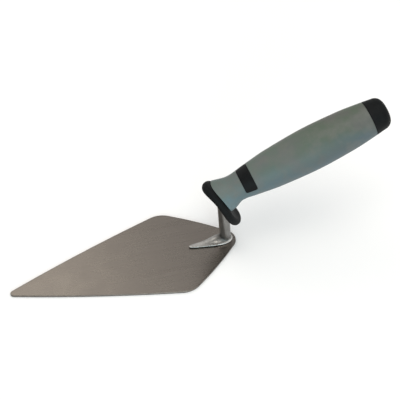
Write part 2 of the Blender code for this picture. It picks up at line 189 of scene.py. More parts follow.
# ---- shader helpers -----------------------------------------------------------------------------
class Look:
    """A material on the Principled shader, with short calls for the nodes that feed it."""

    def __init__(self, name, metallic, specular=0.5):
        self.material = bpy.data.materials.new(name)
        self.material.use_nodes = True
        self.tree = self.material.node_tree
        self.shader = self.tree.nodes["Principled BSDF"]
        self.shader.inputs["Metallic"].default_value = metallic
        self.shader.inputs["Specular IOR Level"].default_value = specular
        self.place = self.node("ShaderNodeTexCoord").outputs["Object"]

    def node(self, kind, **settings):
        """A new shader node with some of its settings changed."""
        made = self.tree.nodes.new(kind)
        for key, value in settings.items():
            setattr(made, key, value)
        return made

    def feed(self, socket, value):
        """Link a value to a socket, or set it where it is a plain number or colour."""
        if isinstance(value, bpy.types.NodeSocket):
            self.tree.links.new(value, socket)
        elif isinstance(value, tuple) and len(value) == 3 and socket.type == "RGBA":
            socket.default_value = (*value, 1.0)
        else:
            socket.default_value = value

    def stretched(self, scale, turn=0.0):
        """The object's coordinates, turned about Z by some degrees and scaled along each axis."""
        turned = self.node("ShaderNodeMapping")
        self.feed(turned.inputs["Vector"], self.place)
        turned.inputs["Rotation"].default_value = (0.0, 0.0, math.radians(turn))
        scaled = self.node("ShaderNodeMapping")
        self.feed(scaled.inputs["Vector"], turned.outputs["Vector"])
        scaled.inputs["Scale"].default_value = scale
        return scaled.outputs["Vector"]

    def noise(self, size, detail=3.0, rough=0.5, vector=None):
        """Noise from 0 to 1 whose features are about size metres across."""
        made = self.node("ShaderNodeTexNoise")
        self.feed(made.inputs["Vector"], vector if vector is not None else self.place)
        made.inputs["Scale"].default_value = 1.0 / size
        made.inputs["Detail"].default_value = detail
        made.inputs["Roughness"].default_value = rough
        return made.outputs["Fac"]

    def grown(self, name):
        """A number stored on the mesh's points."""
        return self.node("ShaderNodeAttribute", attribute_name=name).outputs["Fac"]

    def along(self, direction, origin):
        """Distance in metres along a direction from a point, both in the row frame."""
        moved = self.node("ShaderNodeVectorMath", operation="SUBTRACT")
        self.feed(moved.inputs[0], self.place)
        moved.inputs[1].default_value = origin
        dot = self.node("ShaderNodeVectorMath", operation="DOT_PRODUCT")
        self.feed(dot.inputs[0], moved.outputs["Vector"])
        dot.inputs[1].default_value = direction
        return dot.outputs["Value"]

    def span(self, value, low, high, to_low, to_high):
        """Map value from low..high to to_low..to_high, clamped."""
        made = self.node("ShaderNodeMapRange")
        for socket, given in zip(made.inputs, (value, low, high, to_low, to_high)):
            self.feed(socket, given)
        return made.outputs["Result"]

    def math(self, operation, a, b):
        """One sum on two numbers."""
        made = self.node("ShaderNodeMath", operation=operation)
        self.feed(made.inputs[0], a)
        self.feed(made.inputs[1], b)
        return made.outputs["Value"]

    def mix(self, share, a, b):
        """Mix two colours."""
        made = self.node("ShaderNodeMix", data_type="RGBA")
        factor, first, second = (made.inputs[i] for i in (0, 6, 7))    # 6 and 7 take colours
        self.feed(factor, share)
        self.feed(first, a)
        self.feed(second, b)
        return made.outputs[2]

    def bump(self, height, depth, below=None):
        """Normal of a height field from 0 to 1 that is depth metres deep."""
        made = self.node("ShaderNodeBump")
        made.inputs["Distance"].default_value = depth
        self.feed(made.inputs["Height"], height)
        if below is not None:
            self.feed(made.inputs["Normal"], below)
        return made.outputs["Normal"]

    def finish(self, colour, roughness, normal):
        """Feed the shader and give back the material."""
        self.feed(self.shader.inputs["Base Color"], colour)
        self.feed(self.shader.inputs["Roughness"], roughness)
        self.feed(self.shader.inputs["Normal"], normal)
        return self.material


GRIND_TURN = 4.0                       # degrees between the grinding lines and the blade's long axis


def blade_steel():
    """Ground sheet steel: fine grinding lines, faint stains, painted shade along the rim and towards the
    heel, and slow waves.
    """
    look = Look("blade_steel", 1.0)
    lines = look.noise(1.0, 4.0, 0.65, look.stretched((60.0, 4200.0, 4200.0), GRIND_TURN))
    streaks = look.noise(1.0, 3.0, 0.55, look.stretched((14.0, 700.0, 700.0), GRIND_TURN))
    stains = look.noise(0.020, 5.0, 0.6)
    specks = look.noise(0.0016, 3.0, 0.6)
    stained = look.span(stains, 0.36, 0.66, 0.0, 1.0)
    colour = look.mix(stained, (0.246, 0.216, 0.189), (0.226, 0.198, 0.175))
    colour = look.mix(look.span(streaks, 0.3, 0.7, 0.0, 0.16), colour, (0.285, 0.256, 0.230))
    colour = look.mix(look.span(lines, 0.35, 0.65, 0.0, 0.22), colour, (0.165, 0.145, 0.128))
    colour = look.mix(look.span(specks, 0.66, 0.76, 0.0, 0.45), colour, (0.145, 0.123, 0.109))
    # painted dark reflection: the steel is darker towards the heel
    station = look.along((1.0, 0.0, 0.0), (0.0, 0.0, 0.0))
    heel_dark_reflection = look.math("ADD", station, look.span(stains, 0.3, 0.7, -0.002, 0.002))
    colour = look.mix(look.span(heel_dark_reflection, 0.001, 0.007, 0.0, 0.7), colour, (0.120, 0.112, 0.102))
    # painted shade along the rounded rim, broken up by the specks
    rim_shade = look.math("MULTIPLY", look.grown("rim"), look.span(specks, 0.35, 0.6, 0.4, 1.0))
    colour = look.mix(rim_shade, colour, (0.155, 0.140, 0.126))
    uneven = look.span(streaks, 0.3, 0.7, -0.02, 0.02)
    roughness = look.math("ADD", look.span(stains, 0.3, 0.7, 0.25, 0.31), uneven)
    waves = look.bump(look.noise(0.035, 1.0), 0.00015)
    return look.finish(colour, roughness, look.bump(lines, 0.000012, waves))


def tang_steel():
    """Forged bar, darker where it was left as forged and brighter where the foot was linished, with a
    painted highlight on the foot's rear edge, painted shade along its bottom edge, and forge scale and
    painted shade in the crease.
    """
    look = Look("tang_steel", 1.0)
    lines = look.noise(1.0, 4.0, 0.6, look.stretched((3200.0, 3200.0, 110.0)))
    scale = look.noise(0.0020, 4.0, 0.6)
    stains = look.noise(0.007, 4.0, 0.6)
    height = look.along((0.0, 0.0, 1.0), (0.0, 0.0, TANG_BASE * MM))
    edge = look.math("ADD", height, look.span(stains, 0.3, 0.7, -0.0004, 0.0004))
    ground = look.span(edge, 0.0014, 0.0030, 1.0, 0.0)
    stained = look.span(stains, 0.35, 0.68, 0.0, 1.0)
    forged = look.mix(stained, (0.27, 0.262, 0.25), (0.20, 0.193, 0.182))
    scaled = look.span(scale, 0.35, 0.66, 0.0, 1.0)
    bright = look.mix(scaled, (0.54, 0.525, 0.503), (0.40, 0.385, 0.362))
    colour = look.mix(ground, forged, bright)
    colour = look.mix(look.span(lines, 0.35, 0.7, 0.0, 0.3), colour, (0.16, 0.155, 0.148))
    # painted shade along the foot's bottom edge, where it meets the blade
    painted_contact_shade = look.span(height, 0.0002, 0.0008, 0.85, 0.0)
    colour = look.mix(painted_contact_shade, colour, (0.06, 0.052, 0.045))
    # the crease is darkened: forge scale and painted shade in the hollow
    scale_and_shade = look.math("MULTIPLY", look.grown("crease"), look.span(stains, 0.35, 0.65, 0.75, 1.0))
    colour = look.mix(scale_and_shade, colour, (0.075, 0.07, 0.064))
    # painted highlight along the foot's rear edge
    lip = look.math("MULTIPLY", look.grown("lip"), look.span(stains, 0.35, 0.6, 0.35, 1.0))
    colour = look.mix(look.span(lip, 0.1, 0.6, 0.0, 1.0), colour, (0.80, 0.78, 0.755))
    duller = look.span(scale_and_shade, 0.0, 1.0, 0.0, 0.25)
    roughness = look.math("ADD", look.span(scale, 0.3, 0.7, 0.30, 0.44), duller)
    dents = look.bump(scale, 0.00008)
    return look.finish(colour, roughness, look.bump(lines, 0.000014, dents))


def weld_steel():
    """Fused weld metal: dull, blued and rippled."""
    look = Look("weld_steel", 1.0)
    ripple = look.noise(0.0009, 3.0, 0.6)
    colour = look.mix(look.span(ripple, 0.35, 0.65, 0.0, 1.0), (0.16, 0.15, 0.15), (0.10, 0.095, 0.12))
    return look.finish(colour, look.span(ripple, 0.3, 0.7, 0.5, 0.65), look.bump(ripple, 0.0001))


def grip_rubber():
    """Moulded soft grip: matte, fine-grained, mottled and grimy along its rear seam, with painted light:
    paler towards the front, and a painted cool light on the underside and collar that leaves it yellower
    on top.
    """
    look = Look("grip_rubber", 0.0, 0.3)
    station = look.along(tuple(AXIS), tuple(AXIS_POINT * MM))
    blotches = look.noise(0.010, 4.0, 0.6)
    tints = look.noise(0.017, 3.0, 0.55)
    grain = look.noise(0.00034, 2.0, 0.5)
    tinted = look.span(tints, 0.40, 0.60, 0.0, 1.0)
    # painted light: the grip is paler towards the front and deeper towards the back
    backward = look.span(station, 0.0, 0.075, 0.0, 1.0)
    pale = look.mix(tinted, (0.109, 0.150, 0.127), (0.128, 0.143, 0.142))
    deep = look.mix(tinted, (0.084, 0.108, 0.076), (0.102, 0.104, 0.092))
    colour = look.mix(backward, pale, deep)
    # painted cool light on the underside, strongest at the collar
    height = look.along(tuple(LIFT), tuple(AXIS_POINT * MM))
    painted_cool_light = look.mix(backward, (0.099, 0.145, 0.156), (0.083, 0.110, 0.119))
    at_collar = look.span(station, -0.006, 0.008, 1.0, 0.0)
    painted_cool_light = look.mix(at_collar, painted_cool_light, (0.128, 0.185, 0.200))
    wandering = look.math("ADD", height, look.span(tints, 0.35, 0.65, -0.004, 0.004))
    colour = look.mix(look.span(wandering, -0.001, 0.009, 1.0, 0.0), colour, painted_cool_light)
    colour = look.mix(look.span(blotches, 0.46, 0.68, 0.0, 0.6), colour, (0.140, 0.138, 0.122))
    colour = look.mix(look.span(grain, 0.3, 0.7, 0.0, 0.2), colour, (0.075, 0.09, 0.083))
    seam = look.span(station, (CAP_S - 0.9) * MM, (CAP_S - 0.2) * MM, 0.0, 0.5)
    colour = look.mix(seam, colour, (0.045, 0.05, 0.046))
    roughness = look.span(blotches, 0.3, 0.7, 0.46, 0.58)
    swells = look.bump(look.noise(0.004, 2.0), 0.00003)
    return look.finish(colour, roughness, look.bump(grain, 0.00002, swells))


def black_plastic(name, colour, dull):
    """Moulded black polymer with a fine spark-eroded grain and faint scuffs."""
    look = Look(name, 0.0, 0.1)
    grain = look.noise(0.00036, 2.0, 0.6)
    scuffs = look.noise(0.0045, 5.0, 0.7)
    lighter = tuple(c * 2.2 for c in colour)
    darker = tuple(c * 0.6 for c in colour)
    shade = look.mix(look.span(scuffs, 0.45, 0.75, 0.0, 0.7), colour, lighter)
    shade = look.mix(look.span(grain, 0.3, 0.7, 0.0, 0.35), shade, darker)
    roughness = look.span(scuffs, 0.3, 0.7, dull - 0.05, dull + 0.07)
    return look.finish(shade, roughness, look.bump(grain, 0.000025))


# ---- blade --------------------------------------------------------------------------------------
BLADE_TIP_X = -147.8                   # where the long sides would meet
BLADE_HEEL_X = 11.9                    # where the short sides would meet
BLADE_CORNER = Vector((-34.0, 35.7, 0.0))
BLADE_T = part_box("blade")[1].z / MM
TIP_R = 2.3
CORNER_R = 14.4
HEEL_R = 8.6
LONG_SIDE_BOW = 1.2                    # each side bows out this far in its middle
SHORT_SIDE_BOW = 0.8
RIM_R = 0.3                            # rounding of the blade's rim
RIM_SHADE_WIDTH = 0.9                       # how far in from the rim the painted shade reaches
OUTLINE_STEPS = 20                     # points on each corner's arc and on each side
FLAT_CENTRE = Vector((-48.0, 0.0, 0.0))    # the rings on the blade's flats shrink towards here
FLAT_SHARES = (0.55, 0.8, 0.93)
RIM_SHADE_RINGS = (1.8, 1.3, 0.8)           # extra rings near the rim, in widths of the painted rim shade


def rounded_corner(before, corner, after, radius, steps):
    """Arc that rounds a corner between two straight sides."""
    to_a = (before - corner).normalized()
    to_b = (after - corner).normalized()
    half = to_a.angle(to_b) / 2
    centre = corner + (to_a + to_b).normalized() * (radius / math.sin(half))
    start = corner + to_a * (radius / math.tan(half)) - centre
    sweep = math.pi - 2 * half
    turn = 1 if to_a.cross(to_b).z < 0 else -1
    return [centre + Matrix.Rotation(turn * sweep * k / steps, 3, "Z") @ start for k in range(steps + 1)]


def bowed(a, b, bow, steps):
    """Points strictly between a and b on a side that bows outwards."""
    out = (b - a).cross(Vector((0, 0, 1))).normalized()
    if out.dot(a + b - Vector((2 * BLADE_CORNER.x, 0, 0))) < 0:
        out = -out
    shares = [k / steps for k in range(1, steps)]
    return [a.lerp(b, f) + out * (bow * 4 * f * (1 - f)) for f in shares]


def blade_outline():
    """Outline of the blade: a kite with rounded corners."""
    tip = Vector((BLADE_TIP_X, 0, 0))
    heel_dark_reflection = Vector((BLADE_HEEL_X, 0, 0))
    far = BLADE_CORNER
    near = Vector((far.x, -far.y, 0))
    corners = (rounded_corner(near, tip, far, TIP_R, OUTLINE_STEPS),
               rounded_corner(tip, far, heel_dark_reflection, CORNER_R, OUTLINE_STEPS),
               rounded_corner(far, heel_dark_reflection, near, HEEL_R, OUTLINE_STEPS),
               rounded_corner(heel_dark_reflection, near, tip, CORNER_R, OUTLINE_STEPS))
    bows = (LONG_SIDE_BOW, SHORT_SIDE_BOW, SHORT_SIDE_BOW, LONG_SIDE_BOW)
    outline = []
    for i, arc in enumerate(corners):
        following = corners[(i + 1) % len(corners)]
        outline += arc + bowed(arc[-1], following[0], bows[i], OUTLINE_STEPS)
    return outline


def inset(outline, amount):
    """The outline moved inwards."""
    moved = []
    for i, p in enumerate(outline):
        along = outline[(i + 1) % len(outline)] - outline[i - 1]
        inward = Vector((0, 0, 1)).cross(along).normalized()
        if inward.dot(Vector((BLADE_CORNER.x, 0, 0)) - p) < 0:
            inward = -inward
        moved.append(p + inward * amount)
    return moved


def rim_distance(points, outline):
    """Distance in mm from each point to the outline, seen from above."""
    a = np.array([(p.x, p.y) for p in outline])
    b = np.roll(a, -1, axis=0)
    along = b - a
    q = points[:, None, :] - a[None]
    t = np.clip((q * along).sum(2) / (along ** 2).sum(1), 0.0, 1.0)
    return np.linalg.norm(q - t[..., None] * along, axis=2).min(1)


WELD_X = [sum(corner.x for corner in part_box(name)) / 2 / MM for name in ("weld_front", "weld_rear")]
WELD_POCKET = 0.6                      # depth of the hollow in the blade and in the foot
WELD_POCKET_R = 2.1
CLEAR = 1.0                            # cutters reach this far past the surface


def weld_cutter(x, z0, z1):
    """Round cutter for the hollow that a weld spot sits in."""
    sides = 24
    turns = [2 * math.pi * i / sides for i in range(sides)]
    circle = [Vector((x + WELD_POCKET_R * math.cos(a), WELD_POCKET_R * math.sin(a), 0)) for a in turns]
    return skin("cutter", [[p + Vector((0, 0, z)) for p in circle] for z in (z0, z1)])


def make_blade(look):
    outline = blade_outline()
    turns = spread(0.0, math.pi / 2, 5)
    fillet = [(RIM_R * (1 - math.sin(a)), RIM_R * (1 - math.cos(a))) for a in turns]
    side = [(RIM_SHADE_WIDTH * f, 0.0) for f in RIM_SHADE_RINGS] + fillet
    levels = [(amount, z) for amount, z in side] + [(amount, BLADE_T - z) for amount, z in side[::-1]]
    rings = [[p + Vector((0, 0, z)) for p in inset(outline, amount)] for amount, z in levels]
    inner = inset(outline, RIM_SHADE_WIDTH * RIM_SHADE_RINGS[0])
    under = [[FLAT_CENTRE + (p - FLAT_CENTRE) * f for p in inner] for f in FLAT_SHARES]
    over = [[p + Vector((0, 0, BLADE_T)) for p in ring] for ring in under[::-1]]
    blade = skin("blade_plate", under + rings + over)
    for x in WELD_X:
        cut(blade, weld_cutter(x, BLADE_T - WELD_POCKET, BLADE_T + CLEAR))
    points = np.array([v.co for v in blade.data.vertices]) / MM
    # share of the painted shade along the rim
    painted_light_share = np.clip(1.0 - rim_distance(points[:, :2], outline) / RIM_SHADE_WIDTH, 0.0, 1.0)
    stored = blade.data.attributes.new("rim", "FLOAT", "POINT")
    stored.data.foreach_set("value", painted_light_share.astype(np.float32))
    settle(blade, look, "blade")


# ---- tang ---------------------------------------------------------------------------------------
SHANK_R = 3.6
LEAN = math.radians(4.2)               # the shank leans forward
SHANK_UP = Vector((-math.sin(LEAN), 0, math.cos(LEAN)))
TANG_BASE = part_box("tang")[0].z / MM   # the foot's underside
FOOT_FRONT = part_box("tang")[0].x / MM
FOOT_WIDEST_X = -1.9
FOOT_BACK = 4.5
FOOT_HALF_W = 5.0
FOOT_UNEVEN = 0.2                      # how far the edge wanders
UNEVEN_PER_MM = 0.35                   # and how often
UNEVEN_SLICE = 4.0                     # which slice of the noise it follows
FOOT_DENTS = 0.16                      # height of the hammer marks on the ramp
DENTS_PER_MM = 0.45
DENTS_SLICE = 1.0
FOOT_DRAW_IN = 1.6                     # more pulls the ramp's rings in to the shank sooner
FOOT_RISE = 1.0                        # more makes the ramp hollower, by one more in front
RAMP_SHARES = (0.03, 0.08, 0.15, 0.23, 0.32, 0.41, 0.50, 0.59, 0.68, 0.76, 0.84, 0.91, 0.96, 1.0)
CREASE_SHARES = (0.06, 0.16, 0.3, 0.5, 0.75)
FOOT_TAPER = ((FOOT_FRONT, 0.0), (-24.5, 0.85), (-15.4, 2.5), (-6.6, 4.4), (FOOT_WIDEST_X, FOOT_HALF_W))
FOOT_BEND = -0.7                       # the leaf's middle was forged this far out of line
FLANGE_T = 1.0                         # height of the foot's edge
FLANGE_R = 0.3                         # rounding of it
CREASE_FRONT = 4.2                     # height where the ramp meets the shank in front
CREASE_BACK = 1.4                      # and behind
CREASE_NARROWS = 3.0                   # more keeps the high part of the crease closer to the front
SCALE_AND_SHADE_BEHIND = 0.7                     # forge scale and painted shade reach this far from the crease behind the shank
SCALE_AND_SHADE_FRONT = 4.0                      # and in front of it
SCALE_AND_SHADE_FADE = 0.6                       # below 1 keeps the scale and painted shade dense nearly to its edge
SHANK_START = 5.0                      # the shank is a plain round bar from this height up
SHANK_ROWS = 18
BEND_ROWS = 16
LIP_HIGHLIGHT_WIDTH = 1.2                        # the painted highlight reaches this far in from the foot's edge
BEND_R = 8.0
SPIKE_LEN = 74.0
SPIKE_SHARES = (0.25, 0.5, 0.75, 0.97)
SPIKE_END_R = 2.3
SPIKE_POINT = 0.8                      # the spike's last end is this much thinner
TANG_SEGMENTS = 96
CUTTER_SEGMENTS = 48
TANG_CROWDING = 0.45                   # crowds the rings' points towards the foot's front
HIGHLIGHT_FROM_X = -9.0                     # the painted highlight on the edge runs from here back
HIGHLIGHT_FADE = 5.0
HIGHLIGHT_NEAR = 1.5                        # and is brightest on the -Y side
HIGHLIGHT_FAR = 0.6


def tang_angle(i):
    """Angle of a ring's point, from straight behind the shank."""
    t = 2 * math.pi * i / TANG_SEGMENTS
    return t + TANG_CROWDING * math.sin(t)


def foot_outline(grow):
    """Leaf shape: round behind, a long taper to a blunt tip in front, slightly uneven as forged."""
    points = []
    for i in range(TANG_SEGMENTS):
        angle = tang_angle(i)
        if math.cos(angle) > 0.0:
            reach = FOOT_BACK - FOOT_WIDEST_X
            across = math.sin(angle)
            bend = 0.0
        else:
            reach = FOOT_WIDEST_X - FOOT_FRONT
            half_width = through(FOOT_TAPER, FOOT_WIDEST_X + reach * math.cos(angle))
            across = math.copysign(half_width / FOOT_HALF_W, math.sin(angle))
            bend = FOOT_BEND * math.sin(-math.pi * math.cos(angle))
        x = FOOT_WIDEST_X + (reach + grow) * math.cos(angle)
        y = (FOOT_HALF_W + grow) * across + bend
        wander = noise.noise(Vector((x * UNEVEN_PER_MM, y * UNEVEN_PER_MM, UNEVEN_SLICE)))
        uneven = FOOT_UNEVEN * across * wander
        points.append(Vector((x, y + uneven, 0)))
    return points


def crease_height(i):
    """Height of the crease between foot and shank, highest in front."""
    forward = ((1 - math.cos(tang_angle(i))) / 2) ** CREASE_NARROWS
    return CREASE_BACK + (CREASE_FRONT - CREASE_BACK) * forward


def shank_point(i, height):
    """Point on the shank's surface at a height above the foot's underside."""
    across = Vector((SHANK_UP.z, 0, -SHANK_UP.x))
    angle = tang_angle(i)
    out = across * math.cos(angle) + SIDE * math.sin(angle)
    return Vector((0, 0, TANG_BASE)) + SHANK_UP * height + out * SHANK_R


def tang_path():
    """Centre line of shank, bend and spike above the foot, as (point, direction, radius)."""
    root = Vector((0, 0, TANG_BASE))
    rise = AXIS_POINT.z - TANG_BASE - AXIS_POINT.x * math.tan(TILT)
    corner = root + SHANK_UP * (rise / (math.cos(LEAN) + math.sin(LEAN) * math.tan(TILT)))
    turn = SHANK_UP.angle(AXIS)
    bend_start = corner - SHANK_UP * (BEND_R * math.tan(turn / 2))
    centre = bend_start + Vector((SHANK_UP.z, 0, -SHANK_UP.x)) * BEND_R
    straight = (bend_start - root).length
    path = [(root + SHANK_UP * h, SHANK_UP, SHANK_R) for h in spread(SHANK_START, straight, SHANK_ROWS)]
    for k in range(1, BEND_ROWS + 1):
        rotation = Matrix.Rotation(turn * k / BEND_ROWS, 3, "Y")
        path.append((centre + rotation @ (bend_start - centre), rotation @ SHANK_UP, SHANK_R))
    start = path[-1][0]
    for f in SPIKE_SHARES:
        path.append((start + AXIS * (SPIKE_LEN * f), AXIS, SHANK_R + (SPIKE_END_R - SHANK_R) * f))
    path.append((start + AXIS * SPIKE_LEN, AXIS, SPIKE_END_R - SPIKE_POINT))
    return path


def path_ring(point, direction, radius, segments=TANG_SEGMENTS):
    """Ring square to the centre line."""
    back = Vector((direction.z, 0, -direction.x))
    ring = []
    for i in range(segments):
        angle = tang_angle(i * TANG_SEGMENTS / segments)
        ring.append(point + back * (radius * math.cos(angle)) + SIDE * (radius * math.sin(angle)))
    return ring


def foot_rings():
    """Rings from the foot's underside over its rounded edge and up its ramp to the crease."""
    low = TANG_BASE + FLANGE_T
    small = foot_outline(-FLANGE_R)
    rings = [[p + Vector((0, 0, TANG_BASE)) for p in small]]
    rings.append([p + Vector((0, 0, TANG_BASE + FLANGE_R)) for p in foot_outline(0.0)])
    for a in spread(0.0, math.pi / 2, 4):
        lift = Vector((0, 0, low - FLANGE_R * (1 - math.sin(a))))
        rings.append([p + lift for p in foot_outline(-FLANGE_R * (1 - math.cos(a)))])
    for t in RAMP_SHARES:
        toward = 1 - (1 - t) ** FOOT_DRAW_IN
        ring = []
        for i, edge in enumerate(small):
            crease = shank_point(i, crease_height(i))
            p = edge.lerp(Vector((crease.x, crease.y, 0)), toward)
            dent = noise.noise(Vector((p.x * DENTS_PER_MM, p.y * DENTS_PER_MM, DENTS_SLICE)))
            hammered = FOOT_DENTS * dent * math.sin(math.pi * t)
            forward = smooth((1 - math.cos(tang_angle(i))) / 2)
            height = low + (crease.z - low) * t ** (FOOT_RISE + forward)
            ring.append(Vector((p.x, p.y, height + hammered)))
        rings.append(ring)
    return rings


def make_tang(look):
    rings = foot_rings()
    crease = np.array([tuple(p) for p in rings[-1]])
    creases = [crease_height(i) for i in range(TANG_SEGMENTS)]
    for f in CREASE_SHARES:
        rings.append([shank_point(i, h + (SHANK_START - h) * f) for i, h in enumerate(creases)])
    rings += [path_ring(*step) for step in tang_path()]
    tang = skin("tang_bar", rings)
    for x in WELD_X:
        cut(tang, weld_cutter(x, TANG_BASE - CLEAR, TANG_BASE + WELD_POCKET))
    points = np.array([v.co for v in tang.data.vertices]) / MM
    # how far the forge scale and painted shade reach from the crease
    nearest = np.linalg.norm(points[:, None, :] - crease[None], axis=2).min(1)
    forward = np.clip((SHANK_R - points[:, 0]) / (2 * SHANK_R), 0.0, 1.0)
    reach = SCALE_AND_SHADE_BEHIND + (SCALE_AND_SHADE_FRONT - SCALE_AND_SHADE_BEHIND) * forward
    scaled = np.clip(1.0 - nearest / reach, 0.0, 1.0) ** SCALE_AND_SHADE_FADE
    stored = tang.data.attributes.new("crease", "FLOAT", "POINT")
    stored.data.foreach_set("value", scaled.astype(np.float32))
    # painted highlight on the foot's rear edge, strongest on the -Y side
    edge = rim_distance(points[:, :2], foot_outline(0.0))
    along_edge = np.clip((points[:, 0] - HIGHLIGHT_FROM_X) / HIGHLIGHT_FADE, 0.0, 1.0)
    near_side = np.clip(HIGHLIGHT_NEAR - points[:, 1] * HIGHLIGHT_FAR, 0.0, 1.0)
    on_lip = (points[:, 2] > TANG_BASE + FLANGE_R) & (points[:, 2] < TANG_BASE + CREASE_FRONT)
    painted_light_share = np.clip(1.0 - edge / LIP_HIGHLIGHT_WIDTH, 0.0, 1.0) * on_lip * along_edge * near_side
    stored = tang.data.attributes.new("lip", "FLOAT", "POINT")
    stored.data.foreach_set("value", painted_light_share.astype(np.float32))
    settle(tang, look, "tang")


def tang_cutter(gap):
    """The hole that the tang runs in."""
    path = tang_path()
    point, along, radius = path[-1]
    path.append((point + along * gap, along, radius))
    return skin("cutter", [path_ring(p, d, r + gap, CUTTER_SEGMENTS) for p, d, r in path])


# ---- finger guard -------------------------------------------------------------------------------
GUARD_T = 5.2
GUARD_S = -4.6                         # station of the plate's middle
GUARD_DROP = 6.3                       # and how far below the handle's axis it is
GUARD_HALF_H = 18.0                    # to the middle of the rounded rim
GUARD_HALF_W = 10.8
GUARD_EGG = 0.18                       # wider at the bottom than at the top by this share
GUARD_TILT = 24.6                      # degrees up from level that the middle of the plate faces
GUARD_CURL = 0.09                      # more degrees per square mm away from the middle
GUARD_RIM_ROWS = 15
GUARD_SEGMENTS = 96
GUARD_SHARES = (0.12, 0.3, 0.5, 0.7, 0.85, 0.95)
JOINT_GAP = 0.12                       # hairline between moulded pieces


def guard_tilt(down):
    """Elevation of the plate's normal at a distance down the plate, in radians."""
    return math.radians(GUARD_TILT + GUARD_CURL * down * down)


def guard_point(down, across, out):
    """Point on the curled plate: mm down it, across it, and out from its middle towards the grip."""
    steps = 24
    x = 0.0
    z = 0.0
    for k in range(steps):
        angle = guard_tilt(down * (k + 0.5) / steps)
        x += math.sin(angle) * down / steps
        z -= math.cos(angle) * down / steps
    angle = guard_tilt(down)
    middle = AXIS_POINT + AXIS * GUARD_S - LIFT * GUARD_DROP
    return middle + Vector((x + out * math.cos(angle), across, z + out * math.sin(angle)))


def make_guard(look):
    half = GUARD_T / 2
    rim = [(math.cos(a), half * math.sin(a)) for a in spread(-math.pi / 2, math.pi / 2, GUARD_RIM_ROWS)]
    levels = [(f, 0.0, -half) for f in GUARD_SHARES]
    levels += [(1.0, out, height) for out, height in rim]
    levels += [(f, 0.0, half) for f in GUARD_SHARES[::-1]]
    rings = []
    for share, out, height in levels:
        ring = []
        for i in range(GUARD_SEGMENTS):
            a = 2 * math.pi * i / GUARD_SEGMENTS
            down = (GUARD_HALF_H * share + half * out) * math.cos(a)
            across = (GUARD_HALF_W * share + half * out) * math.sin(a) * (1 + GUARD_EGG * math.cos(a))
            ring.append(guard_point(down, across, height))
        rings.append(ring)
    guard = skin("guard_plate", rings)
    cut(guard, tang_cutter(JOINT_GAP))
    settle(guard, look, "finger_guard")


# ---- sleeve, band and cap -----------------------------------------------------------------------
AROUND = 112                           # points round the sleeve and the cap
SLEEVE_EDGE_R = 0.35
FRONT_EDGE = ((SLEEVE_EDGE_R, 0.0), (0.13, 0.10), (0.03, 0.22))    # mm in from the surface, mm back
REAR_EDGE = ((0.03, 0.2), (0.12, 0.08), (0.3, 0.0))    # mm in from the surface, mm before the end
FLARE_ROWS = 20
BODY_ROWS = 90
BORE_STATIONS = (90.0, 79.2, 68.4, 57.6, 46.8, 36.0, 26.0, 12.0)
SEARCH_FRONT = -14.0                   # the sleeve's front edge lies behind this station


def guard_back():
    """The guard's back face on the centre plane, as rising z and its x, a hairline away."""
    reach = 26.0                       # past the guard's ends both ways
    samples = 105
    line = [guard_point(down, 0.0, GUARD_T / 2 + JOINT_GAP) for down in spread(reach, -reach, samples)]
    return [p.z for p in line], [p.x for p in line]


BACK_Z, BACK_X = guard_back()


def front_station(angle, radius_at, inward):
    """Station where the handle's surface, moved inward by some mm, meets the guard's back face."""
    low = SEARCH_FRONT
    high = NECK_S
    halvings = 30
    for _ in range(halvings):
        s = (low + high) / 2
        p = on_handle(s, angle, radius_at(s) - inward, grip_drop(s))
        if p.x > np.interp(p.z, BACK_Z, BACK_X):
            high = s
        else:
            low = s
    return high


BAND_S0 = 11.8
BAND_S1 = 19.4
BAND_DEPTH = 1.2
BAND_HALF_ANGLE = math.radians(86.0)
BAND_CORNER_R = 1.3
BAND_EDGE_R = 0.3
BAND_STEP = 0.9                        # longest step along its outline
BAND_SHARES = (0.05, 0.15, 0.28, 0.42, 0.56, 0.7, 0.82, 0.92)


def band_outline(grow, share):
    """Rounded rectangle of (mm along, mm round) points about its middle, scaled by a share."""
    half_s = (BAND_S1 - BAND_S0) / 2 + grow
    half_r = BAND_HALF_ANGLE * grip_radius((BAND_S0 + BAND_S1) / 2) + grow
    corner = BAND_CORNER_R + grow
    points = []
    for quarter, (u, v) in enumerate(((1, 1), (-1, 1), (-1, -1), (1, -1))):
        start = quarter * math.pi / 2
        for a in spread(start, start + math.pi / 2, 7):
            along = u * (half_s - corner) + corner * math.cos(a)
            points.append((along, v * (half_r - corner) + corner * math.sin(a)))
    full = []
    for i, p in enumerate(points):
        q = points[(i + 1) % len(points)]
        steps = max(1, int(math.dist(p, q) / BAND_STEP))
        for k in range(steps):
            full.append((p[0] + (q[0] - p[0]) * k / steps, p[1] + (q[1] - p[1]) * k / steps))
    return [(x * share, y * share) for x, y in full]


def band_ring(grow, share, above):
    """Ring of the band, wrapped on to the handle, some mm above its surface."""
    middle = (BAND_S0 + BAND_S1) / 2
    per_mm = 1 / grip_radius(middle)
    ring = []
    for along, round_mm in band_outline(grow, share):
        s = middle + along
        ring.append(on_handle(s, round_mm * per_mm, grip_radius(s) + above))
    return ring


def make_band(look):
    rings = [band_ring(0.0, f, -BAND_DEPTH) for f in BAND_SHARES + (1.0,)]
    for a in spread(0.0, math.pi / 2, 5):
        rings.append(band_ring(-BAND_EDGE_R * (1 - math.cos(a)), 1.0, -BAND_EDGE_R * (1 - math.sin(a))))
    rings += [band_ring(-BAND_EDGE_R, f, 0.0) for f in BAND_SHARES[::-1]]
    settle(skin("band_inlay", rings), look, "thumb_band")


def band_cutter():
    """Cutter for the hollow that the band lies in."""
    shares = BAND_SHARES + (1.0,)
    above = 1.5
    rings = [band_ring(JOINT_GAP, f, -BAND_DEPTH - JOINT_GAP) for f in shares]
    rings += [band_ring(JOINT_GAP, f, above) for f in shares[::-1]]
    return skin("cutter", rings)


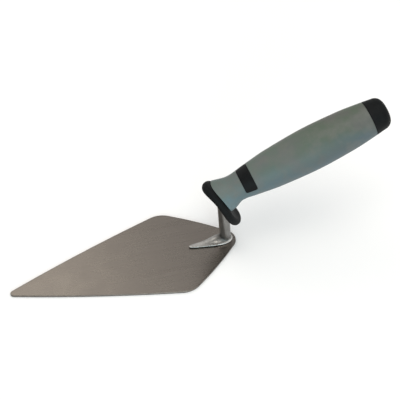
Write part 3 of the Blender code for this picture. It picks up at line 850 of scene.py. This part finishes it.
def make_sleeve(look):
    angles = [2 * math.pi * i / AROUND for i in range(AROUND)]
    rings = []
    for inward, behind in FRONT_EDGE:
        ring = []
        for a in angles:
            s = front_station(a, grip_radius, inward) + behind
            ring.append(on_handle(s, a, grip_radius(s) - inward, grip_drop(s)))
        rings.append(ring)
    starts = [front_station(a, grip_radius, 0.0) + SLEEVE_EDGE_R for a in angles]
    for k in range(FLARE_ROWS):
        ring = []
        for a, start in zip(angles, starts):
            s = start + (NECK_S - start) * k / FLARE_ROWS
            ring.append(on_handle(s, a, grip_radius(s), grip_drop(s)))
        rings.append(ring)
    end = CAP_S - JOINT_GAP
    for s in spread(NECK_S, end - SLEEVE_EDGE_R, BODY_ROWS):
        rings.append([on_handle(s, a, grip_radius(s), grip_drop(s)) for a in angles])
    for inward, before in REAR_EDGE:
        s = end - before
        rings.append([on_handle(s, a, grip_radius(s) - inward) for a in angles])
    for s in (end,) + BORE_STATIONS:
        rings.append([on_handle(s, a, core_radius(s) + JOINT_GAP) for a in angles])
    ring = []
    for a in angles:
        s = front_station(a, lambda station: CORE[0][1] + JOINT_GAP, 0.0)
        ring.append(on_handle(s, a, core_radius(s) + JOINT_GAP, grip_drop(s)))
    rings.append(ring)
    sleeve = tube("sleeve_grip", rings)
    cut(sleeve, band_cutter())
    cut(sleeve, tang_cutter(JOINT_GAP))
    settle(sleeve, look, "grip_sleeve")


PLUG_R = 4.4
PLUG_S = 93.0
PLUG_LEAD = 0.7                        # chamfer on the plug's nose
CAP_EDGE = 0.3                         # rounding of the cap's front edge
CAP_SHAVE = 0.03                       # keeps the fine dome inside the coarser CAD cap
CAP_SIDE_ROWS = 9
DOME_ROWS = 22
DOME_CENTRE_R = 1.5
DOME_FLATNESS = 0.55                   # 1 is a round dome, less is flatter


def make_cap(look):
    base = grip_radius(CAP_S)
    profile = [(PLUG_S, PLUG_R - PLUG_LEAD), (PLUG_S + PLUG_LEAD, PLUG_R)]
    profile += [(CAP_S, PLUG_R), (CAP_S, base - CAP_EDGE * 2)]
    for a in spread(math.pi / 2, 0.0, 4):
        profile.append((CAP_S + CAP_EDGE * (1 - math.sin(a)), base - CAP_EDGE * (1 - math.cos(a))))
    profile += [(s, grip_radius(s)) for s in spread(CAP_S + CAP_EDGE * 1.5, CORNER_S, CAP_SIDE_ROWS)]
    corner = grip_radius(CORNER_S) - CAP_SHAVE
    for a in spread(0.0, math.pi / 2, DOME_ROWS)[1:-1]:
        station = CORNER_S + (END_S - CORNER_S) * math.sin(a)
        profile.append((station, corner * math.cos(a) ** DOME_FLATNESS))
    profile.append((END_S, DOME_CENTRE_R))
    rings = [[on_handle(s, 2 * math.pi * i / AROUND, r) for i in range(AROUND)] for s, r in profile]
    settle(skin("cap_end", rings), look, "end_cap")


make_blade(blade_steel())
make_tang(tang_steel())
make_guard(black_plastic("guard_plastic", (0.0050, 0.0057, 0.0059), 0.58))
make_sleeve(grip_rubber())
make_band(black_plastic("band_plastic", (0.0053, 0.0057, 0.0059), 0.5))
make_cap(black_plastic("cap_plastic", (0.0054, 0.0059, 0.0062), 0.55))

welds = weld_steel()
KEPT = {"weld_front": welds, "weld_rear": welds,
        "handle_core": black_plastic("core_plastic", (0.02, 0.02, 0.021), 0.6)}
for name, material in KEPT.items():
    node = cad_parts[name]
    node.data.materials.clear()
    node.data.materials.append(material)


# ---- studio -------------------------------------------------------------------------------------
def floor():
    """Plain pale floor just under the blade."""
    half = 6.0
    height = -0.0001
    corners = [(x, y, height) for x, y in ((-half, -half), (half, -half), (half, half), (-half, half))]
    mesh = bpy.data.meshes.new("floor")
    mesh.from_pydata(corners, [], [(0, 1, 2, 3)])
    plane = bpy.data.objects.new("floor", mesh)
    bpy.context.scene.collection.objects.link(plane)
    look = Look("pale_floor", 0.0, 0.2)
    tone = look.noise(0.4, 2.0)
    colour = look.mix(look.span(tone, 0.3, 0.7, 0.0, 1.0), (0.965, 0.955, 0.955), (0.95, 0.94, 0.94))
    mesh.materials.append(look.finish(colour, 0.7, look.bump(tone, 0.0001)))


def direction(azimuth, elevation):
    """Unit vector from the trowel. Azimuth 0 is the -Y side and 90 the +X side, in degrees."""
    a = math.radians(azimuth)
    e = math.radians(elevation)
    return Vector((math.sin(a) * math.cos(e), -math.cos(a) * math.cos(e), math.sin(e)))


def softbox(name, azimuth, elevation, distance, size, power, colour):
    """Square area light aimed at the trowel."""
    lamp = bpy.data.lights.new(name, "AREA")
    lamp.shape = "SQUARE"
    lamp.size = size
    lamp.energy = power
    lamp.color = colour
    back = direction(azimuth, elevation)
    obj = bpy.data.objects.new(name, lamp)
    obj.location = AIM + back * distance
    obj.rotation_euler = back.to_track_quat("Z", "Y").to_euler()
    bpy.context.scene.collection.objects.link(obj)


AIM = Vector((-0.0043, 0.0381, 0.0012))    # metres, where the lamps point
VIEW = direction(-19.19, 45.65)
VIEW_DISTANCE = 0.8
AIM_RAISE = 0.00023                    # the camera looks this far above that point
FOCAL_LENGTHS_PER_FRAME = 2.988        # focal length over frame width

floor()
softbox("key_top", 40, 74, 1.5, 1.4, 11.0, (1.0, 0.96, 0.88))
softbox("fill_near", -8, 15, 1.3, 0.7, 6.2, (0.64, 0.9, 1.0))
softbox("far_left", 206, 44, 0.9, 0.7, 1.5, (1.0, 0.96, 0.87))

world = bpy.data.worlds.new("studio")
world.use_nodes = True
world.node_tree.nodes["Background"].inputs["Color"].default_value = (0.97, 0.985, 1.0, 1.0)
world.node_tree.nodes["Background"].inputs["Strength"].default_value = 0.6
bpy.context.scene.world = world
bpy.context.scene.view_settings.view_transform = "Standard"

lens = bpy.data.cameras.new("camera")
camera = bpy.data.objects.new("camera", lens)
bpy.context.scene.collection.objects.link(camera)
turned = VIEW.to_track_quat("Z", "Y")
camera.location = AIM + turned @ Vector((0.0, AIM_RAISE, VIEW_DISTANCE))
camera.rotation_euler = turned.to_euler()
lens.sensor_width = 36.0
lens.lens = FOCAL_LENGTHS_PER_FRAME * lens.sensor_width
lens.clip_start = 0.01
bpy.context.scene.camera = camera
